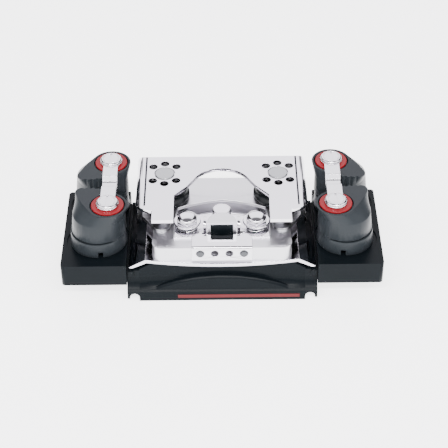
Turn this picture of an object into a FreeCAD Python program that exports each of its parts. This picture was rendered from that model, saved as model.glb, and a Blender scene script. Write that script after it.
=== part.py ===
"""Windward-sheeting mainsheet traveller car with two ball-bearing cam cleats.

Frame, in millimetres: X runs along the track, Y towards the back, Z up.
The origin is the middle of the car's flat underside.
"""
import FreeCAD, Part
import math
import os
import re

import Sketcher

os.makedirs("parts", exist_ok=True)
doc = FreeCAD.newDocument("TravellerCar")
Vector = FreeCAD.Vector

SIZES = {
    # car body and its ball races
    "body_half_length": 44.6,
    "body_half_width": 33.0,
    "lip_top": 7.2,
    "lip_bevel": 0.9,
    "cove_top": 14.5,
    "deck_half_width": 29.0,
    "deck_top": 24.0,
    "channel_half_width": 16.2,
    "channel_top": 17.5,
    "pad_half_length": 38.0,
    "pad_face": 32.2,
    "pad_rise": 8.8,
    "pad_bevel": 1.1,
    "ball_radius": 3.175,
    "race_radius": 3.3,
    "load_race_out": 15.5,
    "load_race_up": 8.0,
    "return_out": 24.6,
    "return_up": 11.0,
    "ball_pitch": 6.7,
    "balls_in_a_row": 11,
    "plug_out": 28.1,
    "plug_low": 4.3,
    "plug_high": 15.2,
    "turn_back": 2.6,
    "end_screw_inner": 20.4,
    "end_screw_outer": 26.4,
    "end_screw_up": 16.7,
    "end_screw_radius": 1.4,
    "end_screw_head": 2.6,
    "corner_start": 36.0,
    "cap_notch_out": 47.3,
    "cap_notch_radius": 2.6,
    "cap_notch_up": 2.4,
    "cap_length": 6.6,
    "cap_top": 19.0,
    "plug_length": 5.4,
    "keeper_inner": 13.7,
    "stripe_start": -24.0,
    "stripe_end": 41.6,
    "stripe_low": 2.0,
    "stripe_high": 4.1,
    "stripe_thick": 0.12,
    # deck pan
    "pan_thick": 2.0,
    "pan_fold": 0.8,
    "wing_drop": 1.7,
    "wing_corner": 1.2,
    "pan_screw_out": 22.0,
    "pan_screw_first": 6.0,
    "pan_screw_last": 24.0,
    "pan_screw_radius": 1.5,
    "pan_screw_head": 2.6,
    "pan_head_rise": 1.4,
    "pan_half_length": 41.0,
    "wing_tip": 50.2,
    "wing_tip_top": 19.9,
    "pan_front_bow": 33.4,
    "pan_front_corner": 29.8,
    "pan_back": 29.5,
    # guide bar and bracket
    "bar_half_length": 37.0,
    "bar_front": 31.0,
    "bar_back": 23.0,
    "bar_top": 35.0,
    "bracket_thick": 1.5,
    "bracket_half_face": 16.0,
    "bracket_half_width": 25.6,
    "face_hole_pitch": 7.7,
    "face_hole_radius": 2.0,
    "face_hole_up": 32.3,
    # hold-down bolts
    "bolt_out": 18.5,
    "bolt_front": 12.8,
    "bolt_radius": 3.0,
    "dome_radius": 5.5,
    "flange_radius": 7.3,
    "flange_low": 38.0,
    "flange_top": 39.4,
    "dome_top": 43.0,
    "spring_radius": 5.0,
    "spring_wire": 1.2,
    # toggle
    "toggle_half": 7.7,
    "toggle_front": 19.8,
    "toggle_back": 11.0,
    "toggle_top": 43.0,
    "toggle_wall": 1.6,
    "pin_front": 14.5,
    "pin_up": 30.5,
    "pin_radius": 1.9,
    "ear_inner": 8.2,
    "ear_outer": 9.8,
    "ear_foot": 11.6,
    "ear_front": 18.6,
    "ear_back": 10.4,
    "ear_top": 41.6,
    "king_back": -4.0,
    "king_radius": 5.2,
    "king_shank": 2.5,
    "king_boss": 4.2,
    "king_head": 2.6,
    "king_round": 1.2,
    "king_top": 40.0,
    # sheave carriage
    "plate_half": 41.3,
    "flange_half": 46.3,
    "plate_back": 35.0,
    "bay_back": 23.8,
    "bay_side": 14.9,
    "bay_turn": 14.3,
    "flange_front": 4.2,
    "flange_thick": 1.3,
    "flange_roll": 2.9,
    "plate_low": 44.5,
    "plate_top": 46.5,
    "lip_low": 40.2,
    "arm_outer": 37.1,
    "arm_inner": 25.6,
    "arm_front": 21.5,
    "sheave_out": 31.1,
    "sheave_along": 19.4,
    "sheave_radius": 13.4,
    "sheave_low": 31.9,
    "sheave_top": 43.5,
    "sheave_bore": 7.6,
    "axle_radius": 4.2,
    "sheave_ball": 1.6,
    "rivet_radius": 5.35,
    "rivet_sink": 0.7,
    "rivet_top": 46.9,
    "vent_ring": 9.0,
    "vent_radius": 2.4,
    "seam_width": 0.9,
    "seam_depth": 1.1,
    "seam_sink": 0.05,
    "seam_front": 9.0,
    "cheek_low": 29.0,
    "cheek_top": 31.0,
    "post_out": 32.5,
    "post_back": 1.4,
    "post_radius": 3.0,
    "tab_front": 21.4,
    "button_front": 7.6,
    "button_radius": 5.0,
    "button_top": 32.6,
    # cleats
    "cleat_inner": 51.2,
    "cleat_outer": 86.1,
    "cleat_half_width": 32.5,
    "cleat_low": 11.1,
    "cleat_top": 24.3,
    "cleat_wall": 2.5,
    "cleat_roof": 3.2,
    "cleat_corner": 2.0,
    "pivot_out": 60.4,
    "pivot_spacing": 38.0,
    "rope_line": 5.1,
    "disc_radius": 15.2,
    "disc_shift_out": 6.2,
    "disc_shift_in": 3.4,
    "disc_low": 24.5,
    "disc_top": 32.6,
    "disc_bore": 6.8,
    "drum_low": 34.0,
    "drum_top": 51.0,
    "drum_radius": 10.6,
    "skirt_radius": 14.6,
    "skirt_shift_out": 5.6,
    "skirt_shift_in": 3.0,
    "nose_inner_out": 14.6,
    "nose_inner_in": 15.2,
    "rope_face_radius": 22.0,
    "nose_outer_out": 17.9,
    "nose_outer_in": 11.3,
    "cam_bore": 7.5,
    "cam_seat_low": 49.1,
    "tooth_low": 37.6,
    "waist_up": 44.5,
    "waist_radius": 14.0,
    "waist_shift_out": 5.1,
    "waist_shift_in": 2.7,
    "post_shaft": 4.2,
    "cam_ball": 1.55,
    "washer_radius": 8.7,
    "washer_low": 50.3,
    "washer_top": 51.4,
    "strap_half_width": 4.1,
    "strap_end_radius": 6.0,
    "strap_thick": 1.2,
    "strap_dip": 2.3,
    "cleat_screw_head": 5.75,
    "cleat_screw_top": 54.1,
}

sheet = doc.addObject("Spreadsheet::Sheet", "Sizes")
for row, (alias, number) in enumerate(SIZES.items(), 1):
    sheet.set(f"A{row}", alias)
    sheet.set(f"B{row}", str(number))
    sheet.setAlias(f"B{row}", alias)
doc.recompute()


# ---- helpers -----------------------------------------------------------------

def sized(text):
    """The same expression with every driving dimension named in the sheet."""
    def named(match):
        word = match[0]
        return f"Sizes.{word}" if word in SIZES else word
    return re.sub(r"[a-z_]+", named, str(text))


def value(text):
    """The number that an expression of driving dimensions gives now."""
    return float(sheet.evalExpression(sized(text)))


def bind(item, **sizes):
    for name, text in sizes.items():
        item.setExpression(name, sized(text))


def put(item, x, y, z):
    for axis, text in zip("xyz", (x, y, z)):
        item.setExpression(f".Placement.Base.{axis}", sized(text))


def box(name, x_range, y_range, z_range):
    item = doc.addObject("Part::Box", name)
    spans = [f"({high}) - ({low})" for low, high in (x_range, y_range, z_range)]
    bind(item, Length=spans[0], Width=spans[1], Height=spans[2])
    put(item, x_range[0], y_range[0], z_range[0])
    return item


TURN = {
    "z": FreeCAD.Rotation(),
    "x": FreeCAD.Rotation(Vector(0, 1, 0), 90),
    "y": FreeCAD.Rotation(Vector(1, 0, 0), -90),
}


def cylinder(name, radius, start, length, axis="z"):
    item = doc.addObject("Part::Cylinder", name)
    bind(item, Radius=radius, Height=length)
    item.Placement.Rotation = TURN[axis]
    put(item, *start)
    return item


def cone(name, low_radius, high_radius, start, length):
    item = doc.addObject("Part::Cone", name)
    bind(item, Radius1=low_radius, Radius2=high_radius, Height=length)
    put(item, *start)
    return item


def fuse(name, *shapes):
    item = doc.addObject("Part::MultiFuse", name)
    item.Shapes = list(shapes)
    return item


def common(name, *shapes):
    item = doc.addObject("Part::MultiCommon", name)
    item.Shapes = list(shapes)
    return item


def cut(name, base, *tools):
    item = doc.addObject("Part::Cut", name)
    item.Base = base
    item.Tool = tools[0] if len(tools) == 1 else fuse(name + "_tools", *tools)
    return item


def group(name, *shapes):
    """Separate solids kept together as one piece list."""
    item = doc.addObject("Part::Compound", name)
    item.Links = list(shapes)
    return item


def mirror(name, source, normal, base=(0, 0, 0)):
    item = doc.addObject("Part::Mirroring", name)
    item.Source = source
    item.Normal = Vector(*normal)
    item.Base = Vector(*base)
    return item


def mirrored_pair(name, source, normal):
    return group(name, source, mirror(name + "_twin", source, normal))


def rounded(name, source, radius, choose, chamfer=False):
    """Round or chamfer the edges that the choose function accepts."""
    doc.recompute()
    item = doc.addObject("Part::Chamfer" if chamfer else "Part::Fillet", name)
    item.Base = source
    size = value(radius)
    edges = enumerate(source.Shape.Edges, 1)
    item.Edges = [(number, size, size) for number, edge in edges if choose(edge)]
    return item


def upright(edge):
    """A straight edge that runs along Z."""
    if len(edge.Vertexes) != 2 or edge.Curve.TypeId != "Part::GeomLine":
        return False
    return abs(edge.Curve.Direction.z) > 0.99


PLANE = {"xy": "XY_Plane", "xz": "XZ_Plane", "yz": "YZ_Plane"}


def sketch(body, plane, outline, lift="0", bends=None):
    """A closed sketch whose corners are tied to the sheet.

    Side number n joins corner n to the next one. bends gives the radius of the sides
    that are arcs: plus turns left along the outline, minus turns right.
    """
    bends = bends or {}
    item = body.newObject("Sketcher::SketchObject", f"{body.Name}_sketch")
    item.AttachmentSupport = [(face, "") for face in body.Origin.OriginFeatures
                              if face.Role == PLANE[plane]]
    item.MapMode = "FlatFace"
    item.setExpression("AttachmentOffset.Base.z", sized(lift))
    spots = [Vector(value(x), value(y), 0) for x, y in outline]
    ends = []
    for number, start in enumerate(spots):
        finish = spots[(number + 1) % len(spots)]
        if number in bends:
            radius = value(bends[number])
            ends.append(add_arc(item, start, finish, radius))
            side = len(ends) - 1
            tie = item.addConstraint(Sketcher.Constraint("Radius", side, abs(radius)))
            item.setExpression(f"Constraints[{tie}]", sized(f"abs({bends[number]})"))
        else:
            item.addGeometry(Part.LineSegment(start, finish), False)
            ends.append((1, 2))
    for number, (x, y) in enumerate(outline):
        before = number - 1 if number else len(outline) - 1
        first, last = ends[number][0], ends[before][1]
        item.addConstraint(Sketcher.Constraint("Coincident", before, last, number, first))
        for kind, text in (("DistanceX", x), ("DistanceY", y)):
            rule = Sketcher.Constraint(kind, -1, 1, number, first, value(text))
            item.setExpression(f"Constraints[{item.addConstraint(rule)}]", sized(text))
    return item


def add_arc(item, start, finish, radius):
    """Add the short arc from start to finish and return its own end numbers."""
    chord = finish - start
    reach = math.sqrt(radius ** 2 - (chord.Length / 2) ** 2)
    left = Vector(-chord.y, chord.x, 0).normalize()
    centre = (start + finish) / 2 + left * math.copysign(reach, radius)
    first, last = (start, finish) if radius > 0 else (finish, start)
    angles = [math.atan2(spot.y - centre.y, spot.x - centre.x) for spot in (first, last)]
    circle = Part.Circle(centre, Vector(0, 0, 1), abs(radius))
    item.addGeometry(Part.ArcOfCircle(circle, *angles), False)
    return (1, 2) if radius > 0 else (2, 1)


def pad(name, plane, outline, length, lift="0", bends=None, both_ways=False):
    """A body made of one padded sketch."""
    body = doc.addObject("PartDesign::Body", name)
    extrude(body, plane, outline, length, lift, bends, both_ways)
    return body


def extrude(body, plane, outline, length, lift="0", bends=None, both_ways=False):
    profile = sketch(body, plane, outline, lift, bends)
    feature = body.newObject("PartDesign::Pad", f"{body.Name}_pad")
    feature.Profile = profile
    feature.Midplane = both_ways
    bind(feature, Length=length)
    return feature


def mirrored_outline(half):
    """Close a half outline, listed from the axis outward, with its mirror image."""
    return half + [(f"-({x})", y) for x, y in reversed(half)]


def ball_group(name, centres, radius):
    """A set of loose balls, placed from the sheet's sizes."""
    item = doc.addObject("Part::Feature", name)
    item.Shape = Part.makeCompound([Part.makeSphere(radius, spot) for spot in centres])
    return item


def coil(name, centres, radius, wire, low, high, turns):
    """Coil springs of round wire, standing on Z = low.

    Each turn is two half rings. They lean opposite ways, so they meet end to end.
    """
    rise = (high - low - wire) / (2 * turns)
    reach = math.hypot(radius, rise / 2)
    lean = math.degrees(math.atan2(rise / 2, radius))
    halves = []
    for number in range(2 * turns):
        back = number % 2
        half = Part.makeTorus(reach, wire / 2, Vector(), Vector(0, 0, 1), -180, 180, 180)
        turn = FreeCAD.Rotation(Vector(0, 1, 0), -lean if back else lean)
        half.Placement = FreeCAD.Placement(
            Vector(0, 0, low + wire / 2 + rise * (number + 0.5)),
            turn.multiply(FreeCAD.Rotation(Vector(0, 0, 1), 180 * back)))
        halves.append(half)
    spring = halves[0].multiFuse(halves[1:])
    item = doc.addObject("Part::Feature", name)
    item.Shape = Part.makeCompound([spring.translated(Vector(x, y, 0)) for x, y in centres])
    return item


PIECES = []


def piece(item, label):
    """Name a finished sub-part; its label is its file's name."""
    item.Label = label
    PIECES.append(item)
    return item


SIDES = {"left": -1, "right": 1}

# Cutting tools run past the part, to this far from the origin.
REACH = "60"


# ---- car body ----------------------------------------------------------------

section = mirrored_outline([
    ("body_half_width", "0"),
    ("body_half_width", "lip_top - lip_bevel"),
    ("body_half_width - lip_bevel", "lip_top"),
    ("deck_half_width", "cove_top"),
    ("deck_half_width", "deck_top"),
])
COVE = "1.05 * (cove_top - lip_top)"
blank = pad("body_blank", "yz", section, "2 * body_half_length",
            bends={2: f"-({COVE})", 6: f"-({COVE})"}, both_ways=True)
ARCH_RADIUS = "(pow(pad_half_length; 2) + pow(pad_rise; 2)) / (2 * pad_rise)"
arch = pad("body_arch", "xz",
           [("-pad_half_length", "lip_top"), ("-pad_half_length", "0"),
            ("pad_half_length", "0"), ("pad_half_length", "lip_top")],
           "2 * pad_face", bends={3: ARCH_RADIUS}, both_ways=True)


def arch_rim(edge):
    return edge.Curve.TypeId == "Part::GeomCircle" and edge.Length > 40


arch_eased = rounded("body_arch_eased", arch, "pad_bevel", arch_rim, chamfer=True)
solid_body = fuse("body_solid", blank, arch_eased)

channel = box("body_channel", (f"-{REACH}", REACH), ("-channel_half_width", "channel_half_width"),
              ("-1", "channel_top"))


def ball_tunnel(name, side, radius):
    """One race along the car and its return tunnel."""
    runs = []
    for out, up in (("load_race_out", "load_race_up"), ("return_out", "return_up")):
        runs.append(cylinder(f"{name}_{out}", radius, (f"-{REACH}", f"{side} * {out}", up),
                             f"2 * {REACH}", "x"))
    return fuse(name, *runs)


tunnels = [ball_tunnel(f"body_tunnel_{n}", side, "race_radius")
           for n, side in enumerate((-1, 1))]


def plug_box(name, end, side):
    """The block of an end cap that sits inside the body and carries the ball turn."""
    inner = "body_half_length - plug_length"
    x_range = (inner, "body_half_length") if end > 0 else ("-body_half_length", f"-({inner})")
    y_range = ("channel_half_width", "plug_out") if side > 0 else ("-plug_out", "-channel_half_width")
    return box(name, x_range, y_range, ("plug_low", "plug_high"))


def end_screw_group(name, end, radius, start, length):
    """Four like cylinders at one end, along X."""
    first = f"{end} * ({start})" if end > 0 else f"{end} * ({start}) - ({length})"
    rods = []
    for number, across in enumerate(("-end_screw_outer", "-end_screw_inner",
                                     "end_screw_inner", "end_screw_outer")):
        rods.append(cylinder(f"{name}_{number}", radius, (first, across, "end_screw_up"),
                             length, "x"))
    return group(name, *rods)


body_cuts = [channel, *tunnels]
for end_name, end in SIDES.items():
    for number, side in enumerate((-1, 1)):
        body_cuts.append(plug_box(f"body_plug_{end_name}_{number}", end, side))
    body_cuts.append(end_screw_group(f"body_screw_holes_{end_name}", end, "end_screw_radius",
                                     "body_half_length - 9", "12"))
    body_cuts.append(pad(f"body_corner_{end_name}", "xz",
                         [(f"{end} * corner_start", "deck_top"),
                          (f"{end} * (body_half_length + 1)", "cap_top - 0.6"),
                          (f"{end} * (body_half_length + 1)", "deck_top + 1"),
                          (f"{end} * corner_start", "deck_top + 1")],
                         "80", both_ways=True))


PAN_SCREW_SPOTS = [(x, y) for x in ("-pan_screw_out", "pan_screw_out")
                   for y in ("pan_screw_first", "pan_screw_last")]
SCREW_FOOT = "channel_top + 1"


def deck_holes(name):
    """Holes down through the deck for the pan screws, hold-down bolts and king bolt."""
    holes = []
    for number, (x, y) in enumerate(PAN_SCREW_SPOTS):
        holes.append(cylinder(f"{name}_screw_{number}", "pan_screw_radius",
                              (x, y, SCREW_FOOT), "12"))
    for number, side in enumerate((-1, 1)):
        holes.append(cylinder(f"{name}_bolt_{number}", "bolt_radius",
                              (f"{side} * bolt_out", "-bolt_front", SCREW_FOOT), "12"))
    holes.append(cylinder(f"{name}_king", "king_shank", ("0", "king_back", SCREW_FOOT), "12"))
    return fuse(name, *holes)


body_cuts.append(deck_holes("body_deck_holes"))
piece(cut("car_body_shape", solid_body, *body_cuts), "car_body")


# ---- end caps ----------------------------------------------------------------

cap_section = mirrored_outline([
    ("body_half_width", "0"),
    ("body_half_width", "lip_top - lip_bevel"),
    ("body_half_width - lip_bevel", "lip_top"),
    ("deck_half_width", "cove_top"),
    ("deck_half_width", "cap_top - 0.8"),
])


def ball_turn(name, side):
    """The half ring that carries the balls from the load race to the return tunnel."""
    ring = doc.addObject("Part::Torus", name)
    out, up = "(return_out - load_race_out)", "(return_up - load_race_up)"
    bind(ring, Radius1=f"sqrt(pow({out}; 2) + pow({up}; 2)) / 2", Radius2="race_radius")
    slope = math.degrees(math.atan2(value(up), value(out)))
    ring.Placement.Rotation = FreeCAD.Rotation(Vector(1, 0, 0), side * slope)
    ring.Angle3 = 180
    ring.Placement.Rotation = ring.Placement.Rotation * FreeCAD.Rotation(Vector(0, 0, 1), -90)
    put(ring, "body_half_length - turn_back", f"{side} * (return_out + load_race_out) / 2",
        "(return_up + load_race_up) / 2")
    return ring


NOTCH_RUN = "19"


def end_cap_right():
    blank = pad("cap_blank", "yz", cap_section, "cap_length", lift="body_half_length",
                bends={2: f"-({COVE})", 6: f"-({COVE})"})
    tabs = [plug_box(f"cap_plug_{n}", 1, side) for n, side in enumerate((-1, 1))]
    cuts = [box("cap_channel", ("0", "60"), ("-channel_half_width", "channel_half_width"),
                ("-1", "channel_top"))]
    for number, side in enumerate((-1, 1)):
        cuts.append(ball_turn(f"cap_turn_{number}", side))
        for out, up in (("load_race_out", "load_race_up"), ("return_out", "return_up")):
            cuts.append(cylinder(f"cap_lead_{number}_{out}", "race_radius - 0.06",
                                 ("30", f"{side} * {out}", up),
                                 "body_half_length - turn_back - 30", "x"))
    cuts.append(end_screw_group("cap_screw_holes", 1, "end_screw_radius", "35", "20"))
    for number, low in enumerate(("-40", "21")):
        cuts.append(cylinder(f"cap_notch_{number}", "cap_notch_radius",
                             ("cap_notch_out", low, "cap_notch_up"), NOTCH_RUN, "y"))
        run = (low, f"{low} + {NOTCH_RUN}")
        cuts.append(box(f"cap_notch_mouth_{number}",
                        ("cap_notch_out - cap_notch_radius", "cap_notch_out + cap_notch_radius"),
                        run, ("-1", "cap_notch_up")))
        cuts.append(box(f"cap_tip_{number}", ("cap_notch_out + 1.7", REACH), run, ("-1", "1.6")))
    return cut("cap_right", fuse("cap_solid", blank, *tabs), *cuts)


cap_right = end_cap_right()
piece(cap_right, "end_cap_right")
piece(mirror("cap_left", cap_right, (1, 0, 0)), "end_cap_left")


# ---- recirculating balls and their keepers -------------------------------------

def ball_centres(side):
    count = int(SIZES["balls_in_a_row"])
    pitch = SIZES["ball_pitch"]
    rows = (("load_race_out", "load_race_up"), ("return_out", "return_up"))
    spots = []
    for out, up in rows:
        for number in range(count):
            along = (number - (count - 1) / 2) * pitch
            spots.append(Vector(along, side * SIZES[out], SIZES[up]))
    out_step = (SIZES["return_out"] - SIZES["load_race_out"]) / 2
    up_step = (SIZES["return_up"] - SIZES["load_race_up"]) / 2
    reach = math.hypot(out_step, up_step)
    for end in (-1, 1):
        spots.append(Vector(end * (SIZES["body_half_length"] - SIZES["turn_back"] + reach),
                            side * (SIZES["load_race_out"] + out_step),
                            SIZES["load_race_up"] + up_step))
    return spots


for side_name, side in (("front", -1), ("back", 1)):
    piece(ball_group(f"balls_{side_name}", ball_centres(side), SIZES["ball_radius"]),
          f"bearing_balls_{side_name}")

keeper = cut("keeper_back",
             box("keeper_blank", ("-43", "43"), ("keeper_inner", "channel_half_width"),
                 ("3.4", "12.6")),
             cylinder("keeper_slot", "race_radius", ("-50", "load_race_out", "load_race_up"),
                      "100", "x"))
piece(mirrored_pair("keepers", keeper, (0, 1, 0)), "ball_keepers")

stripe = box("stripe_blank", ("stripe_start", "stripe_end"),
             ("body_half_width", "body_half_width + stripe_thick"),
             ("stripe_low", "stripe_high"))
piece(mirrored_pair("stripes", stripe, (0, 1, 0)), "colour_stripes")


# ---- deck pan ------------------------------------------------------------------

pan_profile = mirrored_outline([
    ("0", "deck_top"),
    ("pan_half_length - pan_fold", "deck_top"),
    ("wing_tip", "wing_tip_top - wing_drop"),
    ("wing_tip", "wing_tip_top"),
    ("pan_half_length", "deck_top + pan_thick"),
])[:-1]
BOW = "(pan_front_bow - pan_front_corner)"
BOW_RADIUS = f"(pow(pan_half_length; 2) + pow({BOW}; 2)) / (2 * {BOW})"
pan_plan = [
    ("-pan_half_length", "-pan_front_corner"),
    ("pan_half_length", "-pan_front_corner"),
    ("wing_tip", "-(pan_front_corner - wing_corner)"),
    ("wing_tip", "pan_back - 3"),
    ("pan_half_length", "pan_back"),
    ("-pan_half_length", "pan_back"),
    ("-wing_tip", "pan_back - 3"),
    ("-wing_tip", "-(pan_front_corner - wing_corner)"),
]
pan = common("pan_sheet", pad("pan_bend", "xz", pan_profile, "80", both_ways=True),
             pad("pan_outline", "xy", pan_plan, "40", bends={0: BOW_RADIUS}))
piece(cut("pan", pan, deck_holes("pan_deck_holes")), "deck_pan")

screws = []
for number, (x, y) in enumerate(PAN_SCREW_SPOTS):
    shank = cylinder(f"pan_screw_shank_{number}", "pan_screw_radius", (x, y, SCREW_FOOT),
                     f"deck_top + pan_thick - ({SCREW_FOOT})")
    head = cylinder(f"pan_screw_head_{number}", "pan_screw_head",
                    (x, y, "deck_top + pan_thick"), "pan_head_rise")
    screws.append(fuse(f"pan_screw_{number}", shank, head))
piece(group("pan_screw_set", *screws), "pan_screws")

clip = box("wing_clip", ("wing_tip - 2.6", "wing_tip + 0.4"),
           ("deck_half_width", "deck_half_width + 1.4"),
           ("wing_tip_top - 5", "wing_tip_top - wing_drop"))
clip_pair = mirrored_pair("wing_clips_right", clip, (0, 1, 0))
piece(mirrored_pair("wing_clip_set", clip_pair, (1, 0, 0)), "wing_clips")


# ---- guide bar and its bracket -----------------------------------------------------

PAN_TOP = "deck_top + pan_thick"
bar_plan = [
    ("-(bar_half_length - 5)", "-bar_front"), ("bar_half_length - 5", "-bar_front"),
    ("bar_half_length", "-(bar_front - 5)"), ("bar_half_length", "-(bar_back + 1)"),
    ("bar_half_length - 1", "-bar_back"), ("-(bar_half_length - 1)", "-bar_back"),
    ("-bar_half_length", "-(bar_back + 1)"), ("-bar_half_length", "-(bar_front - 5)"),
]
bar_blank = pad("bar_blank", "xy", bar_plan, f"bar_top - ({PAN_TOP})", lift=PAN_TOP,
                bends={1: "5", 3: "1", 5: "1", 7: "5"})
FACE_HOLES = [f"{step} * face_hole_pitch" for step in (-1.5, -0.5, 0.5, 1.5)]


def face_hole_cylinders(name, radius, depth, wanted=(0, 1, 2, 3)):
    """Round holes or shanks behind the bracket's front face, along Y."""
    rods = []
    for number in wanted:
        rods.append(cylinder(f"{name}_{number}", radius,
                             (FACE_HOLES[number], "-(bar_front + bracket_thick + 0.5)",
                              "face_hole_up"), depth, "y"))
    return group(name, *rods)


piece(cut("bar", bar_blank, face_hole_cylinders("bar_holes", "face_hole_radius", "10.5")),
      "guide_bar")

face = box("bracket_face", ("-bracket_half_face", "bracket_half_face"),
           ("-(bar_front + bracket_thick)", "-bar_front"),
           ("27.4", "bar_top + bracket_thick"))
shelf_plan = [
    ("-bracket_half_face", "-(bar_front + bracket_thick)"),
    ("bracket_half_face", "-(bar_front + bracket_thick)"),
    ("bracket_half_face", "-(bar_back + 0.6)"), ("bracket_half_width", "-(bar_back + 0.6)"),
    ("bracket_half_width - 0.8", "-17.6"), ("0", "-22.4"),
    ("-(bracket_half_width - 0.8)", "-17.6"), ("-bracket_half_width", "-(bar_back + 0.6)"),
    ("-bracket_half_face", "-(bar_back + 0.6)"),
]
shelf = pad("bracket_shelf", "xy", shelf_plan, "bracket_thick", lift="bar_top",
            bends={4: "-120", 5: "-120"})
bracket = rounded("bracket_bend", fuse("bracket_blank", face, shelf), "1.4",
                  lambda edge: edge.Length > 30 and edge.BoundBox.ZMin > 36.4
                  and edge.BoundBox.YMax < -32.4)
piece(cut("bracket", bracket,
          face_hole_cylinders("bracket_holes", "face_hole_radius", "3")), "guide_bracket")

face_screws = []
for number in (0, 3):
    where = FACE_HOLES[number]
    shank = cylinder(f"face_screw_shank_{number}", "face_hole_radius",
                     (where, "-(bar_front + bracket_thick)", "face_hole_up"), "8.5", "y")
    head = cone(f"face_screw_head_{number}", "2.3", "1.7", (where, "0", "0"), "0.9")
    head.Placement.Rotation = FreeCAD.Rotation(Vector(1, 0, 0), 90)
    put(head, where, "-(bar_front + bracket_thick)", "face_hole_up")
    face_screws.append(fuse(f"face_screw_{number}", shank, head))
piece(group("face_screw_set", *face_screws), "bracket_screws")


# ---- hold-down bolts, washers and springs -----------------------------------------

def hold_down_bolt(name, side):
    """A domed hexagon-socket bolt whose shank goes into the body's roof."""
    spot = (f"{side} * bolt_out", "-bolt_front")
    shank = cylinder(f"{name}_shank", "bolt_radius", (*spot, SCREW_FOOT),
                     f"flange_top + 1 - ({SCREW_FOOT})")
    dome = doc.addObject("Part::Sphere", f"{name}_dome")
    rise = "(dome_top - flange_top)"
    ball = f"(pow(dome_radius; 2) + pow({rise}; 2)) / (2 * {rise})"
    bind(dome, Radius=ball)
    put(dome, *spot, f"dome_top - {ball}")
    band = cylinder(f"{name}_band", "dome_radius", (*spot, "flange_top"), rise)
    return fuse(name, shank, common(f"{name}_head", dome, band))


piece(group("hold_down_set", hold_down_bolt("bolt_left", -1), hold_down_bolt("bolt_right", 1)),
      "hold_down_bolts")

washer = cut("bolt_washer",
             cylinder("bolt_washer_disc", "flange_radius", ("bolt_out", "-bolt_front", "flange_low"),
                      "flange_top - flange_low"),
             cylinder("bolt_washer_hole", "bolt_radius", ("bolt_out", "-bolt_front", "30"), "20"))
piece(mirrored_pair("bolt_washer_set", washer, (1, 0, 0)), "bolt_washers")

bolt_spots = [(side * SIZES["bolt_out"], -SIZES["bolt_front"]) for side in (-1, 1)]
piece(coil("bolt_coils", bolt_spots, SIZES["spring_radius"], SIZES["spring_wire"],
           value(PAN_TOP), SIZES["flange_low"], 6), "bolt_springs")


# ---- mainsheet toggle ----------------------------------------------------------------

toggle_side = pad("toggle_side", "yz", [
    ("-toggle_front", "toggle_top"), ("-toggle_front", "pin_up + 2.5"),
    ("-(pin_front + 2.6)", "pin_up - 2.8"), ("-(pin_front - 2.6)", "pin_up - 2.8"),
    ("-toggle_back", "pin_up + 2.5"), ("-toggle_back", "toggle_top"),
], "2 * toggle_half", both_ways=True)
toggle_round = cylinder("toggle_round", "toggle_half", ("0", "-(toggle_back + toggle_half)", "20"),
                        "30")
toggle_square = box("toggle_square", ("-toggle_half", "toggle_half"),
                    ("-30", "-(toggle_back + toggle_half)"), ("20", "50"))
toggle_window = box("toggle_window", ("-(toggle_half - toggle_wall)", "toggle_half - toggle_wall"),
                    ("-30", "0"), ("20", "toggle_top - 1.3"))
toggle_bore = cylinder("toggle_bore", "pin_radius + 0.05", ("-20", "-pin_front", "pin_up"),
                       "40", "x")
toggle_blank = common("toggle_blank", toggle_side,
                      fuse("toggle_plan", toggle_round, toggle_square))
piece(cut("toggle_shape", toggle_blank, toggle_window, toggle_bore), "toggle")

block = cut("toggle_block_shape",
            common("toggle_block_blank", toggle_blank,
                   box("toggle_block_limits", ("-(toggle_half - toggle_wall - 0.1)",
                                               "toggle_half - toggle_wall - 0.1"),
                       ("-(toggle_front - 0.5)", "0"), ("20", "toggle_top - 1.4"))),
            toggle_bore)
piece(block, "toggle_block")

pin = fuse("pin_shape",
           cylinder("pin_rod", "pin_radius", ("-10.8", "-pin_front", "pin_up"), "21.6", "x"),
           cylinder("pin_head", "2.9", ("9.9", "-pin_front", "pin_up"), "1.4", "x"))
piece(pin, "toggle_pin")

ear_blank = fuse("ear_blank",
                 box("ear_plate", ("ear_inner", "ear_outer"), ("-ear_front", "-ear_back"),
                     (PAN_TOP, "ear_top")),
                 box("ear_flange", ("ear_inner", "ear_foot"), ("-ear_front", "-ear_back"),
                     (PAN_TOP, f"{PAN_TOP} + 1.4")))
ear_eased = rounded("ear_eased", ear_blank, "3",
                    lambda edge: edge.BoundBox.ZMin > 41.5 and edge.BoundBox.YLength < 0.1)
ear_bored = cut("ear", ear_eased,
                cylinder("ear_bore", "pin_radius", ("5", "-pin_front", "pin_up"), "8", "x"))
piece(mirrored_pair("ear_set", ear_bored, (1, 0, 0)), "toggle_ears")

king = fuse("king_shape",
            cylinder("king_stem", "king_shank", ("0", "king_back", SCREW_FOOT),
                     f"king_top - 2 - ({SCREW_FOOT})"),
            cylinder("king_collar", "king_boss", ("0", "king_back", PAN_TOP),
                     f"king_top - king_head - ({PAN_TOP})"),
            cylinder("king_disc", "king_radius", ("0", "king_back", "king_top - king_head"),
                     "king_head"))
piece(rounded("king_eased", king, "king_round",
              lambda edge: edge.BoundBox.ZMin > 39.9 and edge.BoundBox.XLength > 10), "king_bolt")


# ---- sheave carriage ---------------------------------------------------------------------

plate_half_plan = [
    ("0", "bay_back"), ("bay_side", "bay_turn"), ("bay_side + 3.8", "8"), ("arm_inner", "0"),
    ("arm_inner", "-arm_front"), ("arm_outer", "-arm_front"),
    ("arm_outer", "-(flange_front + 9)"), ("flange_half", "-flange_front"),
    ("flange_half", "plate_back"), ("0", "plate_back"),
]


def full_plan(half):
    """The half outline, axis point first and last, closed with its mirror image."""
    return half + [(f"-({x})", y) for x, y in reversed(half[1:-1])]


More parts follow.
